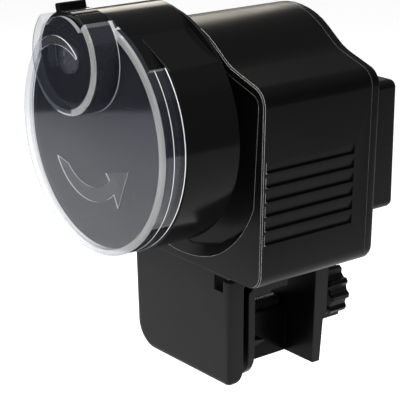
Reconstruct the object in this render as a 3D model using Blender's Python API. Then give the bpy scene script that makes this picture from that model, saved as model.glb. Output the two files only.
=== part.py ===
"""Automatic aquarium feeder that clamps on the rim of a tank.

A clear-capped food drum turns on the front of a housing, a gate in its eccentric
outlet cup sets the dose, and a screw clamp under the housing grips the glass.
Units are metres. +Z is up, the drum faces -Y, and the display faces +Y.
While it is built, the drum axis is at X = 0, Z = 0 and the cap's face is at Y = 0.
The last step moves everything so the clamp's contact face is at the origin.
"""
import math

import bmesh
import bpy
from mathutils import Vector

MM = 0.001

# Drum and clear cap
DRUM_R = 35.2 * MM
DRUM_REAR = 26.3 * MM
DRUM_NECK_R = 33.1 * MM
DRUM_NECK_END = 7.9 * MM
DRUM_FRONT = 2.6 * MM
DRUM_WALL = 2.0 * MM
FLAT_TOP = (14.3 * MM, 29.7 * MM)
FLAT_END = (26.9 * MM, 22.7 * MM)
DOME_R = 20.1 * MM
DOME_Z = 15.6 * MM
HUB_R = 6.0 * MM
CAP_R = 34.9 * MM
CAP_FACE_R = 33.0 * MM
CAP_THICK = 1.5 * MM
SKIRT_INNER_R = 33.5 * MM
SKIRT_REAR = 7.6 * MM
SKIRT_START = math.radians(48.3)

# Outlet cup and gate
CUP_Z = 23.0 * MM
CUP_R = 15.7 * MM
CUP_BORE = 13.75 * MM
CUP_FACE_Y = -8.25 * MM
CUP_REAR_Y = 1.7 * MM
CUT_LEFT = math.radians(-45.0)
CUT_RIGHT = math.radians(43.0)
CUT_R = 12.0 * MM
GATE_R = 13.4 * MM
GATE_BORE = 12.2 * MM
GATE_FRONT = -6.6 * MM
GATE_REAR = 2.0 * MM
TAB_ANGLE = math.radians(-16.0)
TAB_R = 15.6 * MM

# Housing
LIP_Y = 33.0 * MM
DISH_Y = 35.5 * MM
DISH_R = 38.5 * MM
DISH_SLOPE = 0.09
CAVITY_Y = 38.0 * MM
SEAM_Y = 74.05 * MM
COVER_Y = 74.35 * MM
REAR_Y = 78.0 * MM
WALL = 2.2 * MM
SECTION = [
    (8.53, 29.5, 24.6), (-8.53, 29.5, 24.6), (-22.1, 19.3, 18.0), (-37.5, 14.1, 6.0),
    (-36.3, -44.5, 5.0), (36.3, -44.5, 5.0), (37.5, 14.1, 6.0), (22.1, 19.3, 18.0),
]
LOUVRES = 6
LOUVRE_TOP = -8.9 * MM
LOUVRE_PITCH = 4.3 * MM
LOUVRE_DEPTH = 0.8 * MM
SIDE_X = 37.5 * MM
SIDE_TOP = 14.1 * MM
SIDE_DRAFT = 0.0205

# Fixed jaw, pressure plate and screw
FLOOR_Z = -44.5 * MM
JAW_HALF = 22.9 * MM
JAW_FLARE = 1.6 * MM
JAW_BOTTOM = -79.0 * MM
JAW_HEEL = 4.6 * MM
JAW_REAR = 38.4 * MM
PLATE_FRONT = 41.3 * MM
PLATE_REAR = 43.6 * MM
PLATE_HALF = 22.0 * MM
SCREW_Z = -67.4 * MM
SCREW_R = 3.0 * MM
SCREW_PITCH = 1.0 * MM
LUG_HALF = 19.4 * MM
TROUGH_HALF = 6.0 * MM
TROUGH_TOP = -66.4 * MM
LUG_BOTTOM = -82.0 * MM
BRACKET_X = (-7.0 * MM, 7.0 * MM)
KNOB_FRONT = 86.3 * MM
KNOB_REAR = 94.8 * MM
KNOB_R = 10.1 * MM
KNOB_VALLEY_R = 8.9 * MM
KNOB_LOBES = 12

# Control box
BOX_HALF = 29.0 * MM
BOX_TOP = 8.0 * MM
BOX_BOTTOM = -32.5 * MM
BOX_FRONT = 78.3 * MM
BOX_REAR = 93.2 * MM
PANEL_Y = 91.6 * MM

# Drive
GEAR_FRONT = 42.0 * MM
GEAR_REAR = 46.0 * MM
GEAR_TEETH = 36
PINION_TEETH = 12
GEAR_MODULE = 0.8 * MM
SHAFT_R = 3.0 * MM
MOTOR_Z = -(GEAR_TEETH + PINION_TEETH) * GEAR_MODULE / 2.0

# Cells
CELL_X = -25.5 * MM
CELL_Y = (48.8 * MM, 64.2 * MM)
CELL_R = 7.1 * MM
CELL_LOW = -38.8 * MM
CELL_HIGH = 10.4 * MM

# Contact face of the clamp, which becomes the origin
CONTACT = Vector((0.0, JAW_REAR, -63.6 * MM))

for old in list(bpy.data.objects):
    bpy.data.objects.remove(old, do_unlink=True)

PARTS = bpy.data.collections.new("automatic_pet_feeder")
CUTTERS = bpy.data.collections.new("cutters")
bpy.context.scene.collection.children.link(PARTS)
bpy.context.scene.collection.children.link(CUTTERS)


def surface(name, color, roughness, metallic=0.0, transmission=0.0):
    """One Principled material."""
    material = bpy.data.materials.new(name)
    material.use_nodes = True
    shader = material.node_tree.nodes["Principled BSDF"]
    shader.inputs["Base Color"].default_value = (color[0], color[1], color[2], 1.0)
    shader.inputs["Roughness"].default_value = roughness
    shader.inputs["Metallic"].default_value = metallic
    shader.inputs["Transmission Weight"].default_value = transmission
    material.diffuse_color = (color[0], color[1], color[2], 1.0)
    return material


BLACK = (0.012, 0.012, 0.013)


def housing_black(name):
    return surface(name, BLACK, 0.32)


def satin_black(name):
    return surface(name, (0.016, 0.016, 0.017), 0.45)


def clear_plastic(name):
    return surface(name, (0.86, 0.88, 0.92), 0.08, 0.0, 0.9)


def steel(name):
    return surface(name, (0.62, 0.62, 0.63), 0.3, 1.0)


# ---------------------------------------------------------------- shapes

def finish(name, bm, material, origin=(0.0, 0.0, 0.0), cutter=False):
    """Turn a bmesh into an object with its origin at the given point."""
    bmesh.ops.remove_doubles(bm, verts=bm.verts, dist=1e-6)
    bmesh.ops.recalc_face_normals(bm, faces=bm.faces)
    bmesh.ops.translate(bm, verts=bm.verts, vec=-Vector(origin))
    mesh = bpy.data.meshes.new(name)
    bm.to_mesh(mesh)
    bm.free()
    item = bpy.data.objects.new(name, mesh)
    item.location = origin
    if cutter:
        CUTTERS.objects.link(item)
        item.hide_render = True
        item.display_type = 'WIRE'
    else:
        PARTS.objects.link(item)
        item.data.materials.append(material)
    return item


def loft(sections, bm=None, ring=False):
    """Skin a row of loops that all have the same number of points."""
    bm = bm or bmesh.new()
    loops = [[bm.verts.new(point) for point in section] for section in sections]
    count = len(loops[0])
    pairs = list(zip(loops[:-1], loops[1:]))
    if ring:
        pairs.append((loops[-1], loops[0]))
    for first, second in pairs:
        for i in range(count):
            j = (i + 1) % count
            bm.faces.new((first[i], first[j], second[j], second[i]))
    if not ring:
        bm.faces.new(loops[0])
        bm.faces.new(list(reversed(loops[-1])))
    return bm


def along_y(outline, low, high, bm=None):
    """Prism of an (x, z) outline between two Y positions."""
    return loft([[(x, y, z) for x, z in outline] for y in (low, high)], bm)


def along_x(outline, low, high, bm=None):
    """Prism of a (y, z) outline between two X positions."""
    return loft([[(x, y, z) for y, z in outline] for x in (low, high)], bm)


def along_z(outline, low, high, bm=None):
    """Prism of an (x, y) outline between two Z positions."""
    return loft([[(x, y, z) for x, y in outline] for z in (low, high)], bm)


def block(x0, x1, y0, y1, z0, z1, bm=None):
    return along_y([(x0, z0), (x1, z0), (x1, z1), (x0, z1)], y0, y1, bm)


def circle(radius, steps, cx=0.0, cz=0.0, phase=0.0):
    angles = [phase + 2.0 * math.pi * i / steps for i in range(steps)]
    return [(cx + radius * math.cos(a), cz + radius * math.sin(a)) for a in angles]


def rod(radius, y0, y1, cx=0.0, cz=0.0, steps=24, bm=None):
    return along_y(circle(radius, steps, cx, cz), y0, y1, bm)


def turned(profile, cx=0.0, cz=0.0, steps=48, ring=False, bm=None):
    """Turn a (radius, y) profile about a line along Y."""
    sections = [[(x, y, z) for x, z in circle(r, steps, cx, cz)] for r, y in profile]
    return loft(sections, bm, ring)


def arc(cx, cz, radius, start, end, steps):
    """Points on an arc, angles measured from +Z towards +X."""
    points = []
    for i in range(steps + 1):
        a = start + (end - start) * i / steps
        points.append((cx + radius * math.sin(a), cz + radius * math.cos(a)))
    return points


def filleted(corners, step=math.radians(7.5)):
    """Closed outline through corners (x, z, fillet radius)."""
    points = []
    count = len(corners)
    for i in range(count):
        corner = Vector(corners[i][:2])
        before = (Vector(corners[i - 1][:2]) - corner).normalized()
        after = (Vector(corners[(i + 1) % count][:2]) - corner).normalized()
        radius = corners[i][2]
        half = before.angle(after) / 2.0
        if radius <= 0.0 or half > math.radians(89.5):
            points.append(tuple(corner))
            continue
        reach = radius / math.tan(half)
        centre = corner + (before + after).normalized() * (radius / math.sin(half))
        start = corner + before * reach - centre
        end = corner + after * reach - centre
        sweep = start.angle_signed(end)
        parts = max(1, int(math.ceil(abs(sweep) / step)))
        base = math.atan2(start.y, start.x)
        for k in range(parts + 1):
            a = base - sweep * k / parts
            points.append((centre.x + radius * math.cos(a), centre.y + radius * math.sin(a)))
    return points


def scaled(corners):
    return [(x * MM, z * MM, r * MM) for x, z, r in corners]


def rounded(x0, x1, z0, z1, lower, upper=None):
    """Rounded rectangle with one radius for the lower and one for the upper corners."""
    upper = lower if upper is None else upper
    return filleted([(x0, z0, lower), (x1, z0, lower), (x1, z1, upper), (x0, z1, upper)],
                    math.radians(15))


def inset(outline, distance):
    """Move a closed outline inwards by a distance."""
    area = sum(a[0] * b[1] - b[0] * a[1] for a, b in zip(outline, outline[1:] + outline[:1]))
    turn = 1.0 if area > 0 else -1.0
    moved = []
    count = len(outline)
    for i in range(count):
        here = Vector(outline[i])
        first = (here - Vector(outline[i - 1])).normalized()
        second = (Vector(outline[(i + 1) % count]) - here).normalized()
        n1 = Vector((-first.y, first.x)) * turn
        n2 = Vector((-second.y, second.x)) * turn
        mid = (n1 + n2).normalized()
        moved.append(tuple(here + mid * (distance / max(0.3, mid.dot(n1)))))
    return moved


def boolean(target, tool, operation):
    modifier = target.modifiers.new(operation.lower(), 'BOOLEAN')
    modifier.operation = operation
    modifier.solver = 'EXACT'
    modifier.object = tool


def cut(target, bm, label):
    boolean(target, finish(label, bm, None, cutter=True), 'DIFFERENCE')


def fuse(target, bm, label):
    boolean(target, finish(label, bm, None, cutter=True), 'UNION')


def keep(target, bm, label):
    boolean(target, finish(label, bm, None, cutter=True), 'INTERSECT')


def move_origin(item, point):
    """Put an object's origin on its joint axis and leave its shape where it is."""
    shift = Vector(point) - item.location
    for vertex in item.data.vertices:
        vertex.co -= shift
    item.location = point


# ---------------------------------------------------------------- housing

SKIN = filleted(scaled(SECTION))


def side_x(z):
    return SIDE_X - (SIDE_TOP - z) * SIDE_DRAFT


def dish_outline():
    """The lip's inner edge, closed below by an arc round the drum axis."""
    inner = inset(SKIN, 2.5 * MM)
    points = []
    for x, z in inner:
        reach = math.hypot(x, z)
        if reach <= DISH_R:
            points.append((x, z))
        elif z < 0.0:
            points.append((x * DISH_R / reach, z * DISH_R / reach))
        else:
            points.append((x, z))
    side = [p for p in points if p[1] > -20.0 * MM]
    start = math.asin(max(-1.0, -20.0 * MM / DISH_R))
    low = [(DISH_R * math.cos(a), DISH_R * math.sin(a))
           for a in [start - (math.pi + 2.0 * start) * i / 24.0 for i in range(25)]]
    left = [p for p in side if p[0] < 0.0]
    right = [p for p in side if p[0] >= 0.0]
    left.sort(key=lambda p: math.atan2(-p[1], p[0]) % (2.0 * math.pi))
    right.sort(key=lambda p: -math.atan2(p[1], p[0]))
    around = right + low + left
    ordered = sorted(set(around), key=lambda p: math.atan2(p[1], p[0]))
    return ordered


def dish_cutter():
    """Shallow recess for the drum, its wall sloping out to the lip below the drum."""
    floor = dish_outline()
    sections = []
    for y, slope in ((30.0 * MM, 1.0), (LIP_Y, 1.0), (DISH_Y - 0.5 * MM, 0.3), (DISH_Y, 0.0)):
        ring = []
        for x, z in floor:
            below = min(1.0, max(0.0, (-z - 18.0 * MM) / (18.0 * MM)))
            stretch = 1.0 + DISH_SLOPE * slope * below
            ring.append((x * stretch, y, z * stretch))
        sections.append(ring)
    return loft(sections)


def heel_cutter():
    """Rounds the jaw plate's lower edge on the side that meets the glass."""
    start = JAW_REAR - JAW_HEEL
    outline = [(JAW_REAR + 2.0 * MM, JAW_BOTTOM - 2.0 * MM), (start, JAW_BOTTOM - 2.0 * MM)]
    for i in range(6):
        a = math.radians(15.0 * i)
        outline.append((start + JAW_HEEL * math.sin(a),
                        JAW_BOTTOM + JAW_HEEL * (1.0 - math.cos(a))))
    outline.append((JAW_REAR, JAW_BOTTOM + JAW_HEEL))
    outline.append((JAW_REAR + 2.0 * MM, JAW_BOTTOM + JAW_HEEL))
    return along_x(outline, -30.0 * MM, 30.0 * MM)


def louvre_teeth(side, y0, y1):
    """Saw-tooth cutter that leaves a stack of sloping louvres on one side."""
    outline = [(side * (SIDE_X + 2.0 * MM), LOUVRE_TOP + 3.4 * MM)]
    for i in range(LOUVRES):
        ledge = LOUVRE_TOP - i * LOUVRE_PITCH
        top = ledge + 3.4 * MM
        outline.append((side * (side_x(top) + 0.05 * MM), top))
        outline.append((side * (side_x(ledge) - LOUVRE_DEPTH), ledge))
        outline.append((side * (side_x(ledge) + 0.05 * MM), ledge - 0.02 * MM))
    last = LOUVRE_TOP - (LOUVRES - 1) * LOUVRE_PITCH
    outline.append((side * (SIDE_X + 2.0 * MM), last - 0.02 * MM))
    return along_y(outline, y0, y1)


def door_box(grow):
    return block(-45.0 * MM, -30.0 * MM, 41.3 * MM - grow, 70.7 * MM + grow,
                 -39.7 * MM - grow, 5.7 * MM + grow)


def boss_points():
    return [(13.4 * MM, -38.8 * MM), (-13.4 * MM, -38.8 * MM),
            (11.0 * MM, 17.5 * MM), (-11.0 * MM, 17.5 * MM)]


def make_housing():
    """Front shell with the fixed jaw plate hanging from its front wall."""
    bm = loft([[(x, LIP_Y, z) for x, z in inset(SKIN, 0.4 * MM)],
               [(x, LIP_Y + 0.4 * MM, z) for x, z in SKIN],
               [(x, SEAM_Y, z) for x, z in SKIN]])
    housing = finish("housing", bm, housing_black("housing"))
    jaw = filleted([(-JAW_HALF, JAW_BOTTOM, 8.5 * MM), (JAW_HALF, JAW_BOTTOM, 1.8 * MM),
                    (JAW_HALF, FLOOR_Z + 2.0 * MM, 0.0),
                    (-JAW_HALF - JAW_FLARE, FLOOR_Z + 2.0 * MM, 0.0)], math.radians(10))
    jaw_low = inset(jaw, 1.2 * MM)
    jaw_mid = inset(jaw, 0.35 * MM)
    fuse(housing, loft([[(x, LIP_Y + 0.06 * MM, z) for x, z in jaw_low],
                        [(x, LIP_Y + 0.35 * MM, z) for x, z in jaw_mid],
                        [(x, LIP_Y + 1.2 * MM, z) for x, z in jaw],
                        [(x, JAW_REAR, z) for x, z in jaw]]), "jaw_plate")
    cut(housing, along_y(inset(SKIN, WALL), CAVITY_Y, 80.0 * MM), "housing_cavity")
    cut(housing, dish_cutter(), "drum_dish")
    cut(housing, heel_cutter(), "jaw_heel")
    bosses = bmesh.new()
    for x, z in boss_points():
        rod(3.2 * MM, CAVITY_Y - 0.5 * MM, SEAM_Y - 0.2 * MM, x, z, 16, bosses)
    fuse(housing, bosses, "cover_bosses")
    fuse(housing, rod(8.0 * MM, CAVITY_Y - 0.5 * MM, 41.0 * MM, 0.0, 0.0, 32), "bearing_boss")
    holes = bmesh.new()
    rod(SHAFT_R + 0.2 * MM, 30.0 * MM, 60.0 * MM, 0.0, 0.0, 24, holes)
    for x, z in boss_points():
        rod(1.5 * MM, 62.0 * MM, 80.0 * MM, x, z, 12, holes)
    cut(housing, holes, "shaft_and_screw_holes")
    cut(housing, louvre_teeth(1.0, 34.3 * MM, 68.3 * MM), "louvres_right")
    cut(housing, door_box(0.3 * MM), "battery_opening")
    pocket = bmesh.new()
    along_y(rounded(-20.3 * MM, 20.3 * MM, -74.1 * MM, -50.6 * MM, 5.0 * MM, 1.0 * MM),
            35.6 * MM, 40.0 * MM, pocket)
    notch = [(15.6 * MM, -49.4 * MM), (19.8 * MM, -49.4 * MM), (19.8 * MM, -45.8 * MM),
             (24.0 * MM, -45.8 * MM), (24.0 * MM, -44.65 * MM), (15.6 * MM, -44.65 * MM)]
    along_y(notch, 30.0 * MM, 45.0 * MM, pocket)
    cut(housing, pocket, "jaw_pocket_and_notch")
    floor_bosses = bmesh.new()
    for x in BRACKET_X:
        along_z(circle(3.4 * MM, 16, x, 64.0 * MM), FLOOR_Z + 1.0 * MM, -36.0 * MM,
                floor_bosses)
    fuse(housing, floor_bosses, "floor_bosses")
    floor_holes = bmesh.new()
    for x in BRACKET_X:
        along_z(circle(1.7 * MM, 12, x, 64.0 * MM), -50.0 * MM, -37.5 * MM, floor_holes)
    cut(housing, floor_holes, "floor_holes")
    return housing


def make_jaw_pad():
    """Rubber sheet set in the fixed jaw, flush with its contact face."""
    outline = rounded(-20.0 * MM, 20.0 * MM, -73.8 * MM, -50.9 * MM, 4.7 * MM, 0.7 * MM)
    bm = along_y(outline, 35.9 * MM, JAW_REAR)
    return finish("jaw_pad", bm, surface("jaw_pad", (0.02, 0.02, 0.02), 0.85))


def make_rear_cover():
    """Shallow rear shell that carries the control box."""
    bm = loft([[(x, COVER_Y, z) for x, z in SKIN],
               [(x, 76.7 * MM, z) for x, z in SKIN],
               [(x, 77.6 * MM, z) for x, z in inset(SKIN, 0.45 * MM)],
               [(x, REAR_Y, z) for x, z in inset(SKIN, 1.3 * MM)]])
    cover = finish("rear_cover", bm, satin_black("rear_cover"))
    cut(cover, along_y(inset(SKIN, WALL), 70.0 * MM, 75.9 * MM), "cover_cavity")
    openings = bmesh.new()
    block(-25.5 * MM, 25.5 * MM, 70.0 * MM, 82.0 * MM, -29.0 * MM, 4.5 * MM, openings)
    cut(cover, openings, "cover_opening")
    pads = bmesh.new()
    for x, z in boss_points():
        rod(3.6 * MM, 74.4 * MM, 77.0 * MM, x, z, 16, pads)
    fuse(cover, pads, "cover_screw_pads")
    holes = bmesh.new()
    for x, z in boss_points():
        turned([(1.8 * MM, 70.0 * MM), (1.8 * MM, 76.5 * MM), (2.9 * MM, 76.5 * MM),
                (2.9 * MM, 82.0 * MM)], x, z, 16, False, holes)
    cut(cover, holes, "cover_screw_holes")
    return cover


def make_cover_screws():
    for number, (x, z) in enumerate(boss_points(), 1):
        bm = turned([(1.2 * MM, 63.0 * MM), (1.2 * MM, 76.9 * MM), (2.5 * MM, 76.9 * MM),
                     (2.5 * MM, 77.6 * MM), (1.9 * MM, 78.1 * MM)], x, z, 12)
        screw = finish("cover_screw_%d" % number, bm, steel("cover_screw_%d" % number))
        cross = bmesh.new()
        block(x - 1.3 * MM, x + 1.3 * MM, 77.5 * MM, 79.0 * MM, z - 0.25 * MM, z + 0.25 * MM,
              cross)
        cut(screw, cross, "screw_slot_a_%d" % number)


# ---------------------------------------------------------------- control box

def box_outline(shrink=0.0):
    return rounded(-BOX_HALF + shrink, BOX_HALF - shrink, BOX_BOTTOM + shrink,
                   BOX_TOP - shrink, 2.4 * MM - min(shrink, 1.6 * MM))


def make_control_box():
    """Box on the rear cover that holds the display board."""
    bm = loft([[(x, BOX_FRONT, z) for x, z in box_outline()],
               [(x, BOX_REAR - 1.2 * MM, z) for x, z in box_outline()],
               [(x, BOX_REAR - 0.3 * MM, z) for x, z in box_outline(0.35 * MM)],
               [(x, BOX_REAR, z) for x, z in box_outline(1.2 * MM)]])
    box = finish("control_box", bm, satin_black("control_box"))
    cut(box, along_y(rounded(-27.0 * MM, 27.0 * MM, -30.5 * MM, 6.0 * MM, 1.2 * MM),
                     80.1 * MM, 97.0 * MM), "box_cavity")
    cut(box, block(-24.0 * MM, 24.0 * MM, 76.0 * MM, 82.0 * MM, -27.0 * MM, 2.5 * MM),
        "box_passage")
    return box


def make_control_panel():
    """Face plate with the window opening and three button holes."""
    outline = rounded(-26.7 * MM, 26.7 * MM, -29.2 * MM, 4.7 * MM, 1.0 * MM)
    bm = loft([[(x, PANEL_Y, z) for x, z in outline],
               [(x, PANEL_Y + 2.0 * MM, z) for x, z in outline],
               [(x, PANEL_Y + 2.3 * MM, z) for x, z in inset(outline, 0.3 * MM)]])
    panel = finish("control_panel", bm, satin_black("control_panel"))
    holes = bmesh.new()
    block(-17.3 * MM, 17.3 * MM, 86.0 * MM, 97.0 * MM, -12.3 * MM, 1.3 * MM, holes)
    for x in (-15.0 * MM, 0.0, 15.0 * MM):
        rod(3.4 * MM, 86.0 * MM, 97.0 * MM, x, -21.0 * MM, 24, holes)
    cut(panel, holes, "panel_openings")
    return panel


def make_display():
    window = block(-17.0 * MM, 17.0 * MM, PANEL_Y + 1.0 * MM, PANEL_Y + 2.1 * MM,
                   -12.0 * MM, 1.0 * MM)
    finish("display_window", window, clear_plastic("display_window"))
    glass = block(-16.5 * MM, 16.5 * MM, PANEL_Y - 1.6 * MM, PANEL_Y + 0.6 * MM,
                  -11.5 * MM, 0.5 * MM)
    finish("display_module", glass, surface("display_module", (0.42, 0.47, 0.38), 0.25))
    board = block(-25.5 * MM, 25.5 * MM, PANEL_Y - 5.8 * MM, PANEL_Y - 4.2 * MM,
                  -28.5 * MM, 4.0 * MM)
    board_item = finish("circuit_board", board,
                        surface("circuit_board", (0.02, 0.16, 0.07), 0.45))
    feet = bmesh.new()
    for x in (-14.0 * MM, 14.0 * MM):
        block(x - 1.5 * MM, x + 1.5 * MM, PANEL_Y - 4.3 * MM, PANEL_Y - 1.9 * MM,
              -9.0 * MM, -3.0 * MM, feet)
    fuse(board_item, feet, "display_stands")


def make_buttons():
    """Three sprung caps, each over its own switch on the board."""
    names = ("left", "middle", "right")
    for name, x in zip(names, (-15.0 * MM, 0.0, 15.0 * MM)):
        z = -21.0 * MM
        y = PANEL_Y
        cap = turned([(1.4 * MM, y - 1.3 * MM), (1.4 * MM, y - 1.0 * MM),
                      (4.3 * MM, y - 1.0 * MM), (4.3 * MM, y - 0.3 * MM),
                      (3.1 * MM, y - 0.3 * MM), (3.1 * MM, y + 3.0 * MM),
                      (2.8 * MM, y + 3.3 * MM)], x, z, 24)
        finish("button_" + name, cap, surface("button_" + name, (0.30, 0.31, 0.32), 0.55),
               (x, y, z))
        switch = block(x - 3.0 * MM, x + 3.0 * MM, y - 4.0 * MM, y - 3.0 * MM,
                       z - 3.0 * MM, z + 3.0 * MM)
        item = finish("switch_" + name, switch, surface("switch_" + name, (0.03, 0.03, 0.03),
                                                        0.5))
        fuse(item, rod(1.7 * MM, y - 3.2 * MM, y - 2.5 * MM, x, z, 12), "plunger_" + name)


# ---------------------------------------------------------------- cells

def make_battery_door():
    """Lift-off door cut from the left wall, with the same louvres as the right side."""
    bm = along_y(SKIN, 39.0 * MM, 73.0 * MM)
    door = finish("battery_door", bm, housing_black("battery_door"))
    cut(door, along_y(inset(SKIN, WALL), 38.0 * MM, 75.0 * MM), "door_inside")
    keep(door, door_box(0.0), "door_edges")
    cut(door, louvre_teeth(-1.0, 43.5 * MM, 68.3 * MM), "louvres_left")
    move_origin(door, (-36.5 * MM, 56.0 * MM, -17.0 * MM))
    return door


def make_cells():
    for number, y in enumerate(CELL_Y, 1):
        rings = [(CELL_R - 0.5 * MM, CELL_LOW), (CELL_R, CELL_LOW + 0.5 * MM),
                 (CELL_R, CELL_HIGH - 0.5 * MM), (CELL_R - 0.5 * MM, CELL_HIGH),
                 (2.7 * MM, CELL_HIGH), (2.7 * MM, CELL_HIGH + 1.2 * MM)]
        sections = [[(px, py, z) for px, py in circle(r, 24, CELL_X, y)] for r, z in rings]
        finish("cell_%d" % number, loft(sections),
               surface("cell_%d" % number, (0.55, 0.40, 0.12), 0.35, 0.6))
        contact = block(CELL_X - 5.0 * MM, CELL_X + 5.0 * MM, y - 5.0 * MM, y + 5.0 * MM,
                        11.9 * MM, 12.3 * MM)
        finish("contact_%d" % number, contact, steel("contact_%d" % number))
        make_contact_spring(number, y)


def make_contact_spring(number, y):
    """Conical spring under a cell, a round wire swept along a rising spiral."""
    turns, steps, sides, wire = 3.0, 30, 6, 0.35 * MM
    low, high = -41.0 * MM + wire, CELL_LOW - 0.3 * MM - wire
    bm = bmesh.new()
    sections = []
    for i in range(steps + 1):
        t = i / steps
        a = 2.0 * math.pi * turns * t
        r = (5.0 - 2.4 * t) * MM
        z = low + (high - low) * t
        section = []
        for k in range(sides):
            b = 2.0 * math.pi * k / sides
            reach = r + wire * math.cos(b)
            section.append((CELL_X + reach * math.cos(a), y + reach * math.sin(a),
                            z + wire * math.sin(b)))
        sections.append(section)
    loft(sections, bm)
    finish("contact_spring_%d" % number, bm, steel("contact_spring_%d" % number))


def make_battery_tray():
    """Cradle behind the cells that holds the contacts."""
    outline = [(-30.6 * MM, 13.3 * MM), (-30.6 * MM, 12.6 * MM), (-18.1 * MM, 12.6 * MM),
               (-18.1 * MM, -41.3 * MM), (-31.2 * MM, -41.3 * MM), (-31.2 * MM, -42.0 * MM),
               (-16.6 * MM, -42.0 * MM), (-16.6 * MM, 13.3 * MM)]
    bm = along_y(outline, 40.8 * MM, 72.0 * MM)
    return finish("battery_tray", bm, satin_black("battery_tray"))


def make_leads():
    """Two wires from the cell contacts to the board."""
    for name, color, drop in (("lead_red", (0.5, 0.02, 0.02), 0.0),
                              ("lead_black", (0.02, 0.02, 0.02), -4.0 * MM)):
        path = [Vector((-15.9 * MM, 55.0 * MM, 4.0 * MM)), Vector((-15.0 * MM, 61.0 * MM, 3.0 * MM)),
                Vector((-13.5 * MM, 67.0 * MM, 1.5 * MM)), Vector((-12.6 * MM, 73.0 * MM, 0.0)),
                Vector((-12.2 * MM, 78.0 * MM, -1.0 * MM)), Vector((-12.0 * MM, 85.4 * MM, -1.5 * MM))]
        sections = []
        for point in path:
            sections.append([(point.x + 0.6 * MM * math.cos(k * math.pi / 3.0), point.y,
                              point.z + drop + 0.6 * MM * math.sin(k * math.pi / 3.0))
                             for k in range(6)])
        finish(name, loft(sections), surface(name, color, 0.5))


# ---------------------------------------------------------------- drive

def gear_outline(teeth, cz, phase):
    """Trapezoid teeth with running clearance."""
    pitch_r = teeth * GEAR_MODULE / 2.0
    tip = pitch_r + 0.80 * GEAR_MODULE
    root = pitch_r - 1.15 * GEAR_MODULE
    step = 2.0 * math.pi / teeth
    points = []
    for i in range(teeth):
        a = phase + i * step
        for share, radius in ((-0.30, root), (-0.10, tip), (0.10, tip), (0.30, root)):
            b = a + share * step
            points.append((radius * math.sin(b), cz + radius * math.cos(b)))
    return points


def make_drive():
    """Output shaft, gears, position cam, motor and their carrier."""
    shaft = turned([(2.6 * MM, 27.6 * MM), (SHAFT_R, 28.0 * MM), (SHAFT_R, 51.6 * MM),
                    (2.6 * MM, 52.0 * MM)], 0.0, 0.0, 24)
    item = finish("output_shaft", shaft, surface("output_shaft", (0.75, 0.74, 0.70), 0.4))
    cut(item, block(2.2 * MM, 5.0 * MM, 27.0 * MM, 34.8 * MM, -5.0 * MM, 5.0 * MM),
        "shaft_flat")
    gear = finish("drive_gear", along_y(gear_outline(GEAR_TEETH, 0.0, 0.0), GEAR_FRONT,
                                        GEAR_REAR), surface("drive_gear", (0.80, 0.79, 0.75), 0.45))
    cut(gear, rod(SHAFT_R + 0.15 * MM, 41.0 * MM, 47.0 * MM), "gear_bore")
    cam = finish("index_cam", along_y(circle(8.0 * MM, 32), 49.4 * MM, 51.4 * MM),
                 surface("index_cam", (0.80, 0.79, 0.75), 0.45))
    cam_cuts = bmesh.new()
    rod(SHAFT_R + 0.15 * MM, 48.0 * MM, 53.0 * MM, 0.0, 0.0, 24, cam_cuts)
    rod(1.7 * MM, 48.0 * MM, 53.0 * MM, 8.2 * MM, 0.0, 16, cam_cuts)
    cut(cam, cam_cuts, "cam_bore_and_notch")
    phase = math.pi / PINION_TEETH
    pinion = finish("motor_pinion",
                    along_y(gear_outline(PINION_TEETH, MOTOR_Z, phase), GEAR_FRONT, GEAR_REAR),
                    surface("motor_pinion", (0.72, 0.62, 0.35), 0.35, 0.8),
                    (0.0, 44.0 * MM, MOTOR_Z))
    fuse(pinion, rod(1.5 * MM, GEAR_REAR - 0.5 * MM, 50.0 * MM, 0.0, MOTOR_Z, 16),
         "motor_spindle")
    motor = turned([(3.4 * MM, 47.4 * MM), (3.4 * MM, 49.0 * MM), (9.9 * MM, 49.0 * MM),
                    (9.9 * MM, 66.0 * MM), (4.0 * MM, 66.0 * MM), (4.0 * MM, 67.5 * MM)],
                   0.0, MOTOR_Z, 32)
    motor_item = finish("motor", motor, steel("motor"))
    cut(motor_item, rod(1.9 * MM, 46.0 * MM, 50.6 * MM, 0.0, MOTOR_Z, 16), "motor_bearing")
    plate = along_y(rounded(-16.0 * MM, 17.0 * MM, -33.5 * MM, 13.9 * MM, 2.0 * MM),
                    47.0 * MM, 48.6 * MM)
    carrier = finish("gear_plate", plate, surface("gear_plate", (0.06, 0.06, 0.065), 0.5))
    legs = bmesh.new()
    for x, z in ((-13.8 * MM, 11.5 * MM), (14.8 * MM, 11.5 * MM), (-12.5 * MM, -31.0 * MM),
                 (13.5 * MM, -31.0 * MM)):
        rod(2.0 * MM, 38.3 * MM, 47.5 * MM, x, z, 12, legs)
    fuse(carrier, legs, "carrier_legs")
    bores = bmesh.new()
    rod(3.5 * MM, 45.0 * MM, 50.0 * MM, 0.0, 0.0, 24, bores)
    rod(3.8 * MM, 45.0 * MM, 50.0 * MM, 0.0, MOTOR_Z, 24, bores)
    cut(carrier, bores, "carrier_bores")
    switch = block(9.6 * MM, 15.6 * MM, 48.9 * MM, 53.5 * MM, -5.0 * MM, 5.0 * MM)
    finish("limit_switch", switch, surface("limit_switch", (0.04, 0.04, 0.05), 0.5))


# ---------------------------------------------------------------- drum, cap, gate

def drum_outline(radius, fine=3.0):
    """Round below the two flats and domed above them."""
    end = math.atan2(FLAT_END[0], FLAT_END[1])
    steps = int((2.0 * math.pi - 2.0 * end) / math.radians(fine * 2.0))
    points = arc(0.0, 0.0, radius, end, 2.0 * math.pi - end, steps)
    half = math.atan2(FLAT_TOP[0], FLAT_TOP[1] - DOME_Z)
    points += arc(0.0, DOME_Z, DOME_R, -half, half, 16)
    return points


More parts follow.
